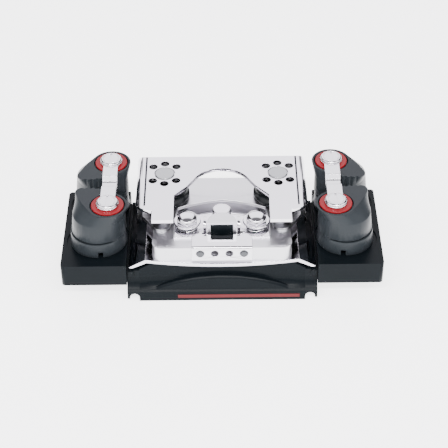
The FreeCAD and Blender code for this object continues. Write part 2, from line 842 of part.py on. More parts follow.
plate_bends = {0: "-16.4", 6: "9.1", 10: "9.1"}
last = len(full_plan(plate_half_plan)) - 1
plate_bends[last] = plate_bends[0]
del plate_bends[10]
plate_bends[last - 6] = plate_bends[6]
top_profile = mirrored_outline([
    ("0", "plate_low"), ("flange_half - flange_thick", "plate_low"), ("flange_half - flange_thick", "lip_low"),
    ("flange_half", "lip_low"), ("flange_half", "plate_top - flange_roll"),
    ("flange_half - flange_roll", "plate_top"),
])[:-1]
top_bent = common("top_bent",
                  pad("top_fold", "xz", top_profile, "100", bends={4: "flange_roll", 6: "flange_roll"},
                      both_ways=True),
                  pad("top_outline", "xy", full_plan(plate_half_plan), "60",
                      bends=plate_bends))


def sheave_spot(side):
    return f"{side} * sheave_out", "sheave_along"


top_holes = []
for number, side in enumerate((-1, 1)):
    x, y = sheave_spot(side)
    top_holes.append(cylinder(f"top_axle_hole_{number}", "axle_radius", (x, y, "40"), "10"))
    top_holes.append(cylinder(f"top_rivet_seat_{number}", "rivet_radius + 0.45",
                              (x, y, "plate_top - rivet_sink"), "10"))
    for turn in (45, 90, 135, 225, 270, 315):
        across = math.cos(math.radians(turn))
        along = math.sin(math.radians(turn))
        top_holes.append(cylinder(f"top_vent_{number}_{turn}", "vent_radius",
                                  (f"{x} + {across} * vent_ring",
                                   f"{y} + {along} * vent_ring", "40"), "10"))
seam = box("seam", ("plate_half - seam_width / 2", "plate_half + seam_width / 2"),
           ("-seam_front", "plate_back"), ("plate_top - seam_depth", "plate_top - seam_sink"))
seams = mirrored_pair("seam_set", seam, (1, 0, 0))
seam_tool = box("seam_tool", ("plate_half - seam_width / 2", "plate_half + seam_width / 2"),
                ("-seam_front", "plate_back + 5"), ("plate_top - seam_depth", "plate_top + 5"))
top_holes.append(mirrored_pair("seam_tools", seam_tool, (1, 0, 0)))
piece(cut("top_shape", top_bent, *top_holes), "top_plate")
piece(seams, "plate_seals")

cheek_half_plan = [
    ("0", "15.7"), ("24", "8.5"), ("arm_inner", "-2"), ("arm_inner", "-tab_front"),
    ("arm_outer", "-tab_front"), ("arm_outer", "-8"), ("43.5", "2"), ("43.5", "36"), ("0", "36"),
]
cheek_count = len(full_plan(cheek_half_plan))
cheek = pad("cheek_blank", "xy", full_plan(cheek_half_plan), "cheek_top - cheek_low",
            lift="cheek_low", bends={0: "-70", cheek_count - 1: "-70"})
cheek_holes = mirrored_pair("cheek_axle_holes",
                            cylinder("cheek_axle_hole", "axle_radius",
                                     ("sheave_out", "sheave_along", "20"), "20"), (1, 0, 0))
piece(cut("cheek", cheek, cheek_holes), "cheek_plate")

post = cylinder("post_rod", "post_radius", ("post_out", "post_back", "cheek_top"),
                "plate_low - cheek_top")
piece(mirrored_pair("post_set", post, (1, 0, 0)), "carriage_posts")

button = rounded("button_eased",
                 cylinder("button", "button_radius", ("post_out", "-button_front", "cheek_top"),
                          "button_top - cheek_top"), "0.7",
                 lambda edge: edge.BoundBox.ZMin > 32.5 and edge.BoundBox.XLength > 8)
piece(mirrored_pair("button_set", button, (1, 0, 0)), "tab_buttons")

axle = fuse("axle_shape",
            cylinder("axle_rod", "axle_radius", ("sheave_out", "sheave_along", "cheek_low"),
                     "plate_top - rivet_sink - cheek_low"),
            cylinder("axle_rivet", "rivet_radius",
                     ("sheave_out", "sheave_along", "plate_top - rivet_sink"),
                     "rivet_top - plate_top + rivet_sink"))
axle = rounded("axle_eased", axle, "0.5",
               lambda edge: edge.BoundBox.ZMin > 46.8 and edge.BoundBox.XLength > 10)
piece(mirrored_pair("axle_set", axle, (1, 0, 0)), "sheave_axles")


def sheave(name, side):
    """A grooved sheave, turned about its axle."""
    body = doc.addObject("PartDesign::Body", name)
    profile = sketch(body, "xz", [
        ("sheave_bore", "sheave_low"), ("sheave_radius", "sheave_low"),
        ("sheave_radius", "sheave_low + 1.6"), ("sheave_radius", "sheave_top - 1.6"),
        ("sheave_radius", "sheave_top"), ("sheave_bore", "sheave_top"),
    ], bends={2: "-4.8"})
    turned = body.newObject("PartDesign::Revolution", f"{name}_turned")
    turned.Profile = profile
    turned.ReferenceAxis = (profile, ["V_Axis"])
    turned.Angle = 360
    put(body, *sheave_spot(side), "0")
    return body


def ring_of_balls(centre, ring, up, radius, count):
    return [Vector(centre[0] + ring * math.cos(step * 2 * math.pi / count),
                   centre[1] + ring * math.sin(step * 2 * math.pi / count), up)
            for step in range(count)]


for side_name, side in SIDES.items():
    piece(sheave(f"sheave_body_{side_name}", side), f"sheave_{side_name}")
    middle = (side * SIZES["sheave_out"], SIZES["sheave_along"])
    ring = (SIZES["axle_radius"] + SIZES["sheave_bore"]) / 2
    up = (SIZES["sheave_low"] + SIZES["sheave_top"]) / 2
    balls = ring_of_balls(middle, ring, up, SIZES["sheave_ball"], 11)
    piece(ball_group(f"sheave_ball_set_{side_name}", balls, SIZES["sheave_ball"]),
          f"sheave_balls_{side_name}")


# ---- cleat bases ---------------------------------------------------------------------------

base_plan = [
    ("cleat_inner", "-cleat_half_width"),
    ("cleat_outer - cleat_corner", "-cleat_half_width"),
    ("cleat_outer", "-(cleat_half_width - cleat_corner)"),
    ("cleat_outer", "cleat_half_width - cleat_corner"),
    ("cleat_outer - cleat_corner", "cleat_half_width"), ("cleat_inner", "cleat_half_width"),
]
base_block = pad("base_block", "xy", base_plan, "cleat_top - cleat_low", lift="cleat_low",
                 bends={1: "cleat_corner", 3: "cleat_corner"})
base_hollow = box("base_hollow", ("cleat_inner + cleat_wall", "cleat_outer - cleat_wall"),
                  ("-(cleat_half_width - cleat_wall)", "cleat_half_width - cleat_wall"),
                  ("0", "cleat_top - cleat_roof"))
base_way = box("base_way", ("40", "100"), ("-channel_half_width", "channel_half_width"),
               ("0", "channel_top"))
PIVOTS = {"front": "rope_line - pivot_spacing / 2", "back": "rope_line + pivot_spacing / 2"}
DISC_SHIFT = {"front": "disc_shift_in", "back": "-disc_shift_in"}
base_cuts = [base_hollow, base_way, end_screw_group("base_screw_holes", 1, "end_screw_radius", "40", "20")]
for where, along in PIVOTS.items():
    base_cuts.append(cylinder(f"base_post_hole_{where}", "3", ("pivot_out", along, "10"), "20"))
    base_cuts.append(cylinder(f"base_recess_{where}", "disc_radius + 2.2",
                              ("pivot_out + disc_shift_out",
                               f"{along} + {DISC_SHIFT[where]}", "cleat_top - 0.7"), "5"))
base_shape = cut("base_shape", base_block, *base_cuts)
piece(base_shape, "cleat_base_right")
piece(mirror("base_shape_left", base_shape, (1, 0, 0)), "cleat_base_left")

for end_name, end in SIDES.items():
    shank = end_screw_group(f"base_shank_{end_name}", end, "end_screw_radius", "body_half_length - 9",
                            "cleat_inner + cleat_wall - body_half_length + 9")
    head = end_screw_group(f"base_head_{end_name}", end, "end_screw_head", "cleat_inner + cleat_wall",
                           "1.8")
    piece(fuse(f"base_screw_{end_name}", shank, head), f"base_screws_{end_name}")


# ---- cam cleats --------------------------------------------------------------------------

def cleat_places():
    """Every pivot as its end name, its row name and its middle."""
    for end_name, end in SIDES.items():
        for where, along in PIVOTS.items():
            yield end_name, where, end * SIZES["pivot_out"], value(along)


def at_each_pivot(name, make):
    """The same turned piece at all four pivots."""
    parts = []
    for end_name, where, x, y in cleat_places():
        end = SIDES[end_name]
        spot = (f"{end} * pivot_out", PIVOTS[where])
        parts.append(make(f"{name}_{end_name}_{where}", spot))
    return group(name, *parts)


def cam_post(name, spot):
    return fuse(name,
                cylinder(f"{name}_stud", "3", (*spot, "cleat_top - cleat_roof"), "cleat_roof"),
                cylinder(f"{name}_rod", "post_shaft", (*spot, "cleat_top - 0.7"),
                         "washer_top - cleat_top + 0.7"))


def red_washer(name, spot):
    return cut(name,
               cylinder(f"{name}_disc", "washer_radius", (*spot, "washer_low"),
                        "washer_top - washer_low"),
               cylinder(f"{name}_hole", "post_shaft", (*spot, "40"), "20"))


def strap_screw(name, spot):
    top = "washer_top + strap_thick"
    return fuse(name,
                cylinder(f"{name}_band", "cleat_screw_head", (*spot, top), "0.8"),
                cone(f"{name}_dome", "cleat_screw_head", "3.4", (*spot, f"{top} + 0.8"),
                     f"cleat_screw_top - ({top}) - 0.8"),
                cylinder(f"{name}_shank", "2", (*spot, "washer_top"), "strap_thick"))


piece(at_each_pivot("cam_post_set", cam_post), "cam_posts")
piece(at_each_pivot("red_washer_set", red_washer), "cam_washers")
piece(at_each_pivot("strap_screw_set", strap_screw), "strap_screws")
cam_spots = [(x, y) for _, _, x, y in cleat_places()]
piece(coil("cam_coils", cam_spots, 5.5, 1.0, SIZES["disc_low"] + 0.3, 31.4, 4), "cam_springs")

strap_side = pad("strap_side", "yz", [
    ("rope_line - 30", "washer_top"), ("rope_line - 4.4", "washer_top"),
    ("rope_line - 2.6", "washer_top - strap_dip"), ("rope_line + 2.6", "washer_top - strap_dip"),
    ("rope_line + 4.4", "washer_top"), ("rope_line + 30", "washer_top"),
    ("rope_line + 30", "washer_top + strap_thick"), ("rope_line + 4.4", "washer_top + strap_thick"),
    ("rope_line + 2.6", "washer_top + strap_thick - strap_dip"),
    ("rope_line - 2.6", "washer_top + strap_thick - strap_dip"),
    ("rope_line - 4.4", "washer_top + strap_thick"), ("rope_line - 30", "washer_top + strap_thick"),
], "200", both_ways=True)
strap_plan = fuse("strap_plan",
                  box("strap_middle", ("pivot_out - strap_half_width",
                                       "pivot_out + strap_half_width"),
                      (PIVOTS["front"], PIVOTS["back"]), ("40", "60")),
                  *[cylinder(f"strap_end_{where}", "strap_end_radius", ("pivot_out", along, "40"), "20")
                    for where, along in PIVOTS.items()])
strap_holes = [cylinder(f"strap_hole_{where}", "2", ("pivot_out", along, "40"), "20")
               for where, along in PIVOTS.items()]
strap_right = cut("strap_right", common("strap_blank", strap_side, strap_plan), *strap_holes)
piece(strap_right, "strap_right")
piece(mirror("strap_left", strap_right, (1, 0, 0)), "strap_left")


# The front right cam is drawn about its own pivot, nose outboard; the others mirror it.

def on_circle(radius, degrees, shift=("0", "0")):
    turn = math.radians(degrees)
    return (f"{shift[0]} + {math.cos(turn)} * {radius}", f"{shift[1]} + {math.sin(turn)} * {radius}")


cam_body = doc.addObject("PartDesign::Body", "cam_body")
SKIRT = ("skirt_shift_out", "skirt_shift_in")
WAIST = ("waist_shift_out", "waist_shift_in")
low_outline = [on_circle("skirt_radius", turn, SKIRT) for turn in (118, 215, 312, 22, 52)]
top_outline = [
    on_circle("drum_radius", 106), on_circle("drum_radius", 218), on_circle("drum_radius", 332),
    ("nose_outer_out", "nose_outer_in"), ("nose_inner_out", "nose_inner_in"),
]
low_sketch = sketch(cam_body, "xy", low_outline, "drum_low",
                    bends={side: "skirt_radius" for side in range(5)})
waist_outline = [on_circle("waist_radius", turn, WAIST) for turn in (118, 215, 312, 22, 52)]
waist_sketch = sketch(cam_body, "xy", waist_outline, "waist_up",
                      bends={side: "waist_radius" for side in range(5)})
top_sketch = sketch(cam_body, "xy", top_outline, "drum_top",
                    bends={0: "drum_radius", 1: "drum_radius", 2: "60", 3: "3.4",
                           4: "rope_face_radius"})
cam_loft = cam_body.newObject("PartDesign::AdditiveLoft", "cam_loft")
cam_loft.Profile = low_sketch
cam_loft.Sections = [waist_sketch, top_sketch]
cam_loft.Ruled = True

TOOTH_COUNT = 6
TOOTH_RADIUS = 1.0
rope_side = pad("cam_rope_side", "xy", [
    on_circle("drum_radius", 106), ("nose_inner_out", "nose_inner_in"),
    ("30", "19"), ("30", "40"), ("-20", "40"), ("-20", "5.3"),
], "20", lift="tooth_low", bends={0: "-rope_face_radius"})


def rope_face_point(share):
    """A point on the rope face, from the nose to the drum."""
    nose = Vector(value("nose_inner_out"), value("nose_inner_in"), 0)
    drum = Vector(*[value(text) for text in on_circle("drum_radius", 106)], 0)
    radius = value("rope_face_radius")
    bulge = radius - math.sqrt(radius ** 2 - ((nose - drum).Length / 2) ** 2)
    outward = Vector(drum.y - nose.y, nose.x - drum.x, 0).normalize()
    return nose + (drum - nose) * share + outward * (4 * share * (1 - share) * bulge)


teeth = []
for number in range(TOOTH_COUNT):
    spot = rope_face_point((number + 0.5) / TOOTH_COUNT)
    teeth.append(cylinder(f"cam_tooth_{number}", TOOTH_RADIUS,
                          (spot.x, spot.y + 0.3, "tooth_low"), "20"))
cam_shape = cut("cam_shape", cam_body,
                cylinder("cam_bore", "cam_bore", ("0", "0", "20"), "40"),
                cylinder("cam_seat", "washer_radius + 0.8", ("0", "0", "cam_seat_low"), "5"),
                rope_side, *teeth)

disc_cone = cone("disc_cone", "disc_radius", "disc_radius - 0.5",
                 ("disc_shift_out", "disc_shift_in", "disc_low"), "disc_top - disc_low")
disc_hub = cylinder("disc_hub", "disc_bore + 3.6", ("2.2", "1.4", "disc_top - 0.4"),
                    "drum_low - disc_top + 0.4")
disc_notch = box("disc_notch", ("3", "5.7"), ("-20", "-7.8"), ("20", "disc_low + 3.2"))
disc_shape = cut("disc_shape", fuse("disc_solid", disc_cone, disc_hub),
                 cylinder("disc_bore_tool", "disc_bore", ("0", "0", "20"), "20"),
                 disc_notch)
balls = ball_group("cam_ball_ring", ring_of_balls((0, 0), 5.85, 45.5, SIZES["cam_ball"], 10),
                   SIZES["cam_ball"])


def placed_copy(name, source, end, where):
    """The front right piece, mirrored where needed and moved to its pivot."""
    shape = source
    if where == "back":
        shape = mirror(f"{name}_turned", shape, (0, 1, 0))
    if end < 0:
        shape = mirror(f"{name}_handed", shape, (1, 0, 0))
    moved = doc.addObject("Part::Compound", f"{name}_placed")
    moved.Links = [shape]
    put(moved, f"{end} * pivot_out", PIVOTS[where], "0")
    return moved


for end_name, where, _, _ in list(cleat_places()):
    for kind, source in (("cam", cam_shape), ("cam_disc", disc_shape), ("cam_balls", balls)):
        label = f"{kind}_{end_name}_{where}"
        piece(placed_copy(f"{label}_own", source, SIDES[end_name], where), label)


# ---- check and write -----------------------------------------------------------------------

doc.recompute()
for item in doc.Objects:
    if "Invalid" in item.State or "Error" in item.State:
        raise RuntimeError(f"{item.Name} failed: {item.State}")
for item in PIECES:
    shape = item.Shape
    if shape.isNull() or not shape.isValid() or not shape.Solids:
        raise RuntimeError(f"{item.Label} is not a valid solid")
    print(f"{item.Label:24s} {len(shape.Solids):3d} solids {shape.Volume:10.1f} mm3")
for item in PIECES:
    item.Shape.exportStep(f"parts/{item.Label}.step")
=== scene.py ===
"""A mainsheet traveller car with its sheave carriage and two cam cleats, put together
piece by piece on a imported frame. Lengths are in metres, unless a comment says otherwise."""
import math
import bmesh
import bpy
from mathutils import Matrix, Vector


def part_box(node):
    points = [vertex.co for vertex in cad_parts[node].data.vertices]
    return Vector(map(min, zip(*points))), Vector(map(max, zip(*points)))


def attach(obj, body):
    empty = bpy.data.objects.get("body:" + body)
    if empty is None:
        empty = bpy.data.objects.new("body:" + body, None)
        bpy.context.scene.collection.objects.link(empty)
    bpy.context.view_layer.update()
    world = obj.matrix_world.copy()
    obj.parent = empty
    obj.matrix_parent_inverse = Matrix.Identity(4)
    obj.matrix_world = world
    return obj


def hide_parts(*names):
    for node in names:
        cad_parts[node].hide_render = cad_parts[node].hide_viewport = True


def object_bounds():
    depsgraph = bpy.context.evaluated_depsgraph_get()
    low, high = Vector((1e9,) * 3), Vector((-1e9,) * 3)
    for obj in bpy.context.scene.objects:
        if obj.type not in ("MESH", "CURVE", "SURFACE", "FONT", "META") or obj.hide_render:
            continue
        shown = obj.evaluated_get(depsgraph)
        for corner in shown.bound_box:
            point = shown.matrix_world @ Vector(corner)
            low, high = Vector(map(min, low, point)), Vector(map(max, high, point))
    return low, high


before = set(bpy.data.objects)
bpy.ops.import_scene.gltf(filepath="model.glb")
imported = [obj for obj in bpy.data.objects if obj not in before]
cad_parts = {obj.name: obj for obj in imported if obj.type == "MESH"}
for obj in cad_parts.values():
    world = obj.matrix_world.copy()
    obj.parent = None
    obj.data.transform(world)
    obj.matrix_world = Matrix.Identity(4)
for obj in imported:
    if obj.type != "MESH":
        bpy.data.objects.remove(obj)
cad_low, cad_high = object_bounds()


# ---- Studio ------------------------------------------------------------------
# A backlit opal table in an evenly lit white tent. Black flags low down, overhead and at
# the back corners give polished steel its dark edges, and one long strip light picks out
# the rims of black pieces.

def linear(hex_colour):
    """An sRGB hex colour as linear red, green, blue and alpha."""
    channels = [int(hex_colour[i:i + 2], 16) / 255 for i in (1, 3, 5)]
    return [c / 12.92 if c <= 0.04045 else ((c + 0.055) / 1.055) ** 2.4
            for c in channels] + [1.0]


def add(owner, kind, settings=None, links=None):
    """Add one node to a material or world, with its settings and the sockets it reads."""
    tree = owner.node_tree
    node = tree.nodes.new(kind)
    for name, setting in (settings or {}).items():
        if name in node.inputs:
            node.inputs[name].default_value = setting
        else:
            setattr(node, name, setting)
    for name, source in (links or {}).items():
        tree.links.new(source, node.inputs[name])
    return node


def new_material(name):
    """An empty material, ready for its nodes."""
    material = bpy.data.materials.new(name)
    material.use_nodes = True
    material.node_tree.nodes.clear()
    return material


def finish_with(material, shader):
    """Send a shader to the material's surface."""
    add(material, "ShaderNodeOutputMaterial", links={"Surface": shader.outputs["BSDF"]})
    return material


TABLE_HALF = 3.0
TABLE_DROP = 0.0003
TABLE_GLOW = 2.8

# Cast white acrylic, matt on top and lit from below.
opal_acrylic = new_material("backlit_opal_acrylic")
finish_with(opal_acrylic, add(opal_acrylic, "ShaderNodeBsdfPrincipled",
                              {"Base Color": linear("#F4F4F4"), "Roughness": 0.9,
                               "Emission Color": linear("#FFFFFF"),
                               "Emission Strength": TABLE_GLOW}))
sheet = bmesh.new()
bmesh.ops.create_grid(sheet, x_segments=1, y_segments=1, size=TABLE_HALF)
bmesh.ops.translate(sheet, vec=(0, 0, cad_low[2] - TABLE_DROP), verts=sheet.verts)
table_mesh = bpy.data.meshes.new("opal_table")
sheet.to_mesh(table_mesh)
sheet.free()
table_mesh.materials.append(opal_acrylic)
table = bpy.data.objects.new("opal_table", table_mesh)
bpy.context.collection.objects.link(table)

CAMERA_PLACE = Vector((-0.00031, -0.58174, 0.49538))
CAMERA_TARGET = Vector((0.00122, 0.0, 0.02619))
CAMERA_ROLL = math.radians(-0.48)
LENS_MM = 109.62
SENSOR_MM = 36.0

lens = bpy.data.cameras.new("camera")
lens.lens = LENS_MM
lens.sensor_width = SENSOR_MM
camera = bpy.data.objects.new("camera", lens)
ahead = (CAMERA_TARGET - CAMERA_PLACE).normalized()
level = ahead.cross(Vector((0, 0, 1))).normalized()
upward = level.cross(ahead)
right = level * math.cos(CAMERA_ROLL) + upward * math.sin(CAMERA_ROLL)
upright = upward * math.cos(CAMERA_ROLL) - level * math.sin(CAMERA_ROLL)
camera.matrix_world = Matrix((
    (right.x, upright.x, -ahead.x, CAMERA_PLACE.x),
    (right.y, upright.y, -ahead.y, CAMERA_PLACE.y),
    (right.z, upright.z, -ahead.z, CAMERA_PLACE.z),
    (0, 0, 0, 1)))
bpy.context.collection.objects.link(camera)
bpy.context.scene.camera = camera

# Each edge is where a flag starts and where it is full, along one axis of the direction.
# Each share is the part of the tent's light that a flag lets through.
TENT_GLOW = 3.7
ROOF_EDGE = (0.8, 0.9)
ROOF_SHARE = 0.08
FLOOR_EDGE = (0.16, 0.36)
FLOOR_SHARE = 0.15
CORNER_SIDE_EDGE = (0.3, 0.46)
CORNER_BACK_EDGE = (0.0, 0.3)
CORNER_GLOW = 0.1

world = bpy.data.worlds.new("white_tent")
world.use_nodes = True
bpy.context.scene.world = world
heading = add(world, "ShaderNodeTexCoord").outputs["Generated"]
parts = add(world, "ShaderNodeSeparateXYZ", links={"Vector": heading})
sideways = add(world, "ShaderNodeMath", {"operation": "ABSOLUTE"}, {"Value": parts.outputs["X"]})


def rise(source, edge, low=0.0, high=1.0):
    """A smooth step from low to high as the source crosses an edge."""
    start, full = edge
    return add(world, "ShaderNodeMapRange",
               {"interpolation_type": "SMOOTHSTEP", "From Min": start, "From Max": full,
                "To Min": low, "To Max": high}, {"Value": source}).outputs["Result"]


def times(first, second):
    """The product of two sockets."""
    node = add(world, "ShaderNodeMath", {"operation": "MULTIPLY"})
    world.node_tree.links.new(first, node.inputs[0])
    world.node_tree.links.new(second, node.inputs[1])
    return node.outputs["Value"]


corner_flags = times(rise(sideways.outputs["Value"], CORNER_SIDE_EDGE),
                     rise(parts.outputs["Y"], CORNER_BACK_EDGE))
open_tent = times(rise(parts.outputs["Z"], ROOF_EDGE, 1.0, ROOF_SHARE),
                  rise(parts.outputs["Z"], FLOOR_EDGE, FLOOR_SHARE, 1.0))
glow = times(open_tent, rise(corner_flags, (0.0, 1.0), TENT_GLOW, CORNER_GLOW))
tent = world.node_tree.nodes["Background"]
tent.inputs["Color"].default_value = linear("#F4F2F8")
world.node_tree.links.new(glow, tent.inputs["Strength"])

STRIP_PLACE = Vector((0.0, -0.59, 0.76))
STRIP_AIM = Vector((0, 0, 0.02))
STRIP_SIZE = (0.9, 0.08)
STRIP_WATTS = 13.0

lamp = bpy.data.lights.new("rim_strip", "AREA")
lamp.shape = "RECTANGLE"
lamp.size, lamp.size_y = STRIP_SIZE
lamp.energy = STRIP_WATTS
strip = bpy.data.objects.new("rim_strip", lamp)
strip_turn = (STRIP_AIM - STRIP_PLACE).to_track_quat("-Z", "Y").to_matrix().to_4x4()
strip.matrix_world = Matrix.Translation(STRIP_PLACE) @ strip_turn
bpy.context.collection.objects.link(strip)


# ---- Car body ------------------------------------------------------------------
# The extruded aluminium body that rides on the track, hard anodised black. It was
# blasted before anodising, which leaves a very fine even grain and a satin sheen.

MM = 0.001
WELD_REACH = 0.000002
GRAIN_STRENGTH = 0.35
GLOSS_BELOW = 0.05
GLOSS_ABOVE = 0.07


def dress(node, material):
    """Give a CAD node one material on every slot."""
    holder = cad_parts[node]
    for slot in holder.material_slots:
        slot.material = material
    if not holder.material_slots:
        holder.data.materials.append(material)


def ease_edges(node, width_mm, angle=32):
    """Break a CAD node's sharp edges, as tumbling or polishing does."""
    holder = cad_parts[node]
    weld = holder.modifiers.new("weld", "WELD")
    weld.merge_threshold = WELD_REACH
    bevel = holder.modifiers.new("eased_edges", "BEVEL")
    bevel.width = width_mm * MM
    bevel.segments = 2
    bevel.limit_method = "ANGLE"
    bevel.angle_limit = math.radians(angle)
    bevel.harden_normals = True


def grainy_finish(name, colour, dark, roughness, grain_mm, depth_mm, sheen=0.2,
                  blotch_mm=14.0):
    """A satin surface with a fine bump grain and a slow drift of tone. The grain is drawn
    coarser than the real one, so that it shows."""
    material = new_material(name)
    place = add(material, "ShaderNodeTexCoord").outputs["Object"]
    drift = add(material, "ShaderNodeTexNoise", {"Scale": 1 / (blotch_mm * MM), "Detail": 3.0},
                {"Vector": place})
    tone = add(material, "ShaderNodeMix",
               {"data_type": "RGBA", "A": linear(dark), "B": linear(colour)},
               {"Factor": drift.outputs["Fac"]})
    grain = add(material, "ShaderNodeTexNoise", {"Scale": 1 / (grain_mm * MM), "Detail": 2.0},
                {"Vector": place})
    gloss = add(material, "ShaderNodeMapRange", {"To Min": roughness - GLOSS_BELOW,
                                                 "To Max": roughness + GLOSS_ABOVE},
                {"Value": grain.outputs["Fac"]})
    bump = add(material, "ShaderNodeBump",
               {"Strength": GRAIN_STRENGTH, "Distance": depth_mm * MM},
               {"Height": grain.outputs["Fac"]})
    shader = add(material, "ShaderNodeBsdfPrincipled",
                 {"Specular IOR Level": sheen},
                 {"Base Color": tone.outputs["Result"], "Roughness": gloss.outputs["Result"],
                  "Normal": bump.outputs["Normal"]})
    return finish_with(material, shader)


# Blasted aluminium under a sealed black hard-anodised layer.
black_anodised = grainy_finish("black_hard_anodised_aluminium", "#0C1114", "#080C0F",
                               roughness=0.26, grain_mm=0.35, depth_mm=0.008, sheen=0.05)
dress("car_body", black_anodised)
ease_edges("car_body", 0.25)


# ---- End caps, ball keepers and cleat bases -------------------------------------------
# Moulded from glass-filled nylon. The caps turn the balls round, and the bases are screwed
# through the caps to the body. The wing clips and the toggle's insert are small mouldings
# pressed into place. The black strips in the top plate's seams are painted shade: they stand
# for the dark reflection along the plate's bends.

# Glass-filled nylon, with the soft satin skin that it has out of the tool. On the strips in
# the top plate's seams this black is painted shade.
black_nylon = grainy_finish("moulded_black_nylon_and_painted_seam_shade", "#0D1215", "#090D10",
                            roughness=0.32, grain_mm=0.5, depth_mm=0.01, sheen=0.06)
for node in ("end_cap_left", "end_cap_right", "ball_keepers", "cleat_base_left",
             "cleat_base_right", "wing_clips", "toggle_block", "plate_seals"):
    dress(node, black_nylon)
for node in ("cleat_base_left", "cleat_base_right"):
    ease_edges(node, 0.5)


# ---- Bearing balls -----------------------------------------------------------------------
# White acetal balls for the car's two trains and for the rings in the sheaves and cams.
# They are ground, then tumbled to a smooth wax-like sheen.

# Ground acetal: off-white, with a slight change of gloss from spot to spot.
white_acetal = new_material("ground_white_acetal")
ball_spot = add(white_acetal, "ShaderNodeTexCoord").outputs["Object"]
ball_cloud = add(white_acetal, "ShaderNodeTexNoise", {"Scale": 1 / (2 * MM)},
                 {"Vector": ball_spot})
ball_gloss = add(white_acetal, "ShaderNodeMapRange", {"To Min": 0.22, "To Max": 0.32},
                 {"Value": ball_cloud.outputs["Fac"]})
finish_with(white_acetal, add(white_acetal, "ShaderNodeBsdfPrincipled",
                              {"Base Color": linear("#E4E2DA"), "IOR": 1.48},
                              {"Roughness": ball_gloss.outputs["Result"]}))
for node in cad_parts:
    if "balls" in node:
        dress(node, white_acetal)


# ---- Colour stripes ----------------------------------------------------------------------
# A thin plain band along the front and back edges of the body, screen printed in red ink
# on top of the anodising.

# Baked epoxy ink, a little matt.
red_ink = grainy_finish("screen_printed_red_ink", "#5A0D13", "#520B10",
                        roughness=0.45, grain_mm=0.3, depth_mm=0.01)
dress("colour_stripes", red_ink)


# ---- Sheet and bar pieces in stainless steel -------------------------------------------------
# The pan, top plate, bracket, ears, posts, king bolt and washers are 316 stainless, cut,
# folded or turned, then electropolished. The cheek plate, the guide bar and the toggle are
# only pickled. The cut edges are broken by hand.

WAVE_STRENGTH = 0.5
HAZE_MM = 1.2
MIRROR_LIMIT = 0.02
HAZE_BELOW = 0.03
HAZE_ABOVE = 0.04


def polished_metal(name, colour, roughness, wave_mm, wave_depth_mm):
    """Bare metal with a slight waviness and a haze that changes from spot to spot."""
    material = new_material(name)
    place = add(material, "ShaderNodeTexCoord").outputs["Object"]
    waves = add(material, "ShaderNodeTexNoise", {"Scale": 1 / (wave_mm * MM), "Detail": 1.0},
                {"Vector": place})
    haze = add(material, "ShaderNodeTexNoise", {"Scale": 1 / (HAZE_MM * MM), "Detail": 3.0},
               {"Vector": place})
    gloss = add(material, "ShaderNodeMapRange",
                {"To Min": max(roughness - HAZE_BELOW, MIRROR_LIMIT),
                 "To Max": roughness + HAZE_ABOVE},
                {"Value": haze.outputs["Fac"]})
    bump = add(material, "ShaderNodeBump",
               {"Strength": WAVE_STRENGTH, "Distance": wave_depth_mm * MM},
               {"Height": waves.outputs["Fac"]})
    shader = add(material, "ShaderNodeBsdfPrincipled",
                 {"Metallic": 1.0, "Base Color": linear(colour)},
                 {"Roughness": gloss.outputs["Result"], "Normal": bump.outputs["Normal"]})
    return finish_with(material, shader)


# Electropolished 316: a nearly clean mirror, faintly wavy from the pressing.
mirror_steel = polished_metal("electropolished_stainless", "#DCDADF",
                              roughness=0.06, wave_mm=22.0, wave_depth_mm=0.1)
for node in ("deck_pan", "top_plate", "guide_bracket", "toggle_ears", "carriage_posts",
             "king_bolt", "bolt_washers"):
    dress(node, mirror_steel)

# Pickled 316: as bright, but evenly frosted by the acid.
pickled_steel = polished_metal("pickled_stainless_sheet", "#D2D1D5",
                               roughness=0.34, wave_mm=20.0, wave_depth_mm=0.02)
for node in ("cheek_plate", "guide_bar", "toggle"):
    dress(node, pickled_steel)

for node, width in (("deck_pan", 0.5), ("top_plate", 0.5), ("cheek_plate", 0.5),
                    ("guide_bar", 1.2), ("guide_bracket", 0.5), ("toggle", 0.8),
                    ("toggle_ears", 0.5), ("bolt_washers", 0.5), ("carriage_posts", 0.3)):
    ease_edges(node, width)


# ---- Stainless fasteners, straps and springs -------------------------------------------------
# Turned, headed, cut or wound from stainless bar, strip and wire. Each is finished in bulk,
# by barrel polishing or tumbling. The outer bracket screws are drawn in a darker steel, as
# painted shade in their holes.

# Barrel polished: bright, with a soft haze.
bright_steel = polished_metal("barrel_polished_stainless", "#D8D7DA",
                              roughness=0.12, wave_mm=9.0, wave_depth_mm=0.03)
for node in ("pan_screws", "toggle_pin", "bolt_springs", "base_screws_left",
             "base_screws_right", "cam_posts", "cam_springs", "strap_left", "strap_right",
             "strap_screws"):
    dress(node, bright_steel)
for node in ("strap_left", "strap_right"):
    ease_edges(node, 0.35, 20)

# Tumbled in ceramic chips: an even, greyer satin.
satin_steel = polished_metal("tumbled_stainless", "#9FA0A2",
                             roughness=0.28, wave_mm=9.0, wave_depth_mm=0.02)
for node in ("sheave_axles", "tab_buttons"):
    dress(node, satin_steel)

# Painted shade: a darker steel for the outer bracket screws, so that their heads read mid
# grey in their holes.
dull_steel = polished_metal("stainless_darkened_as_painted_shade", "#505154",
                            roughness=0.3, wave_mm=9.0, wave_depth_mm=0.02)
dress("bracket_screws", dull_steel)


# ---- Acorn nuts on the hold-down bolts ----------------------------------------------------
# Domed stainless hexagon nuts that hold the spring-loaded washers down. The hexagon is
# forged with a chamfer, and the dome is turned and polished. Below each nut the bolt's
# shank goes down inside the spring.

WELD_VERTS = 0.000001
SHARP_ANGLE = 30


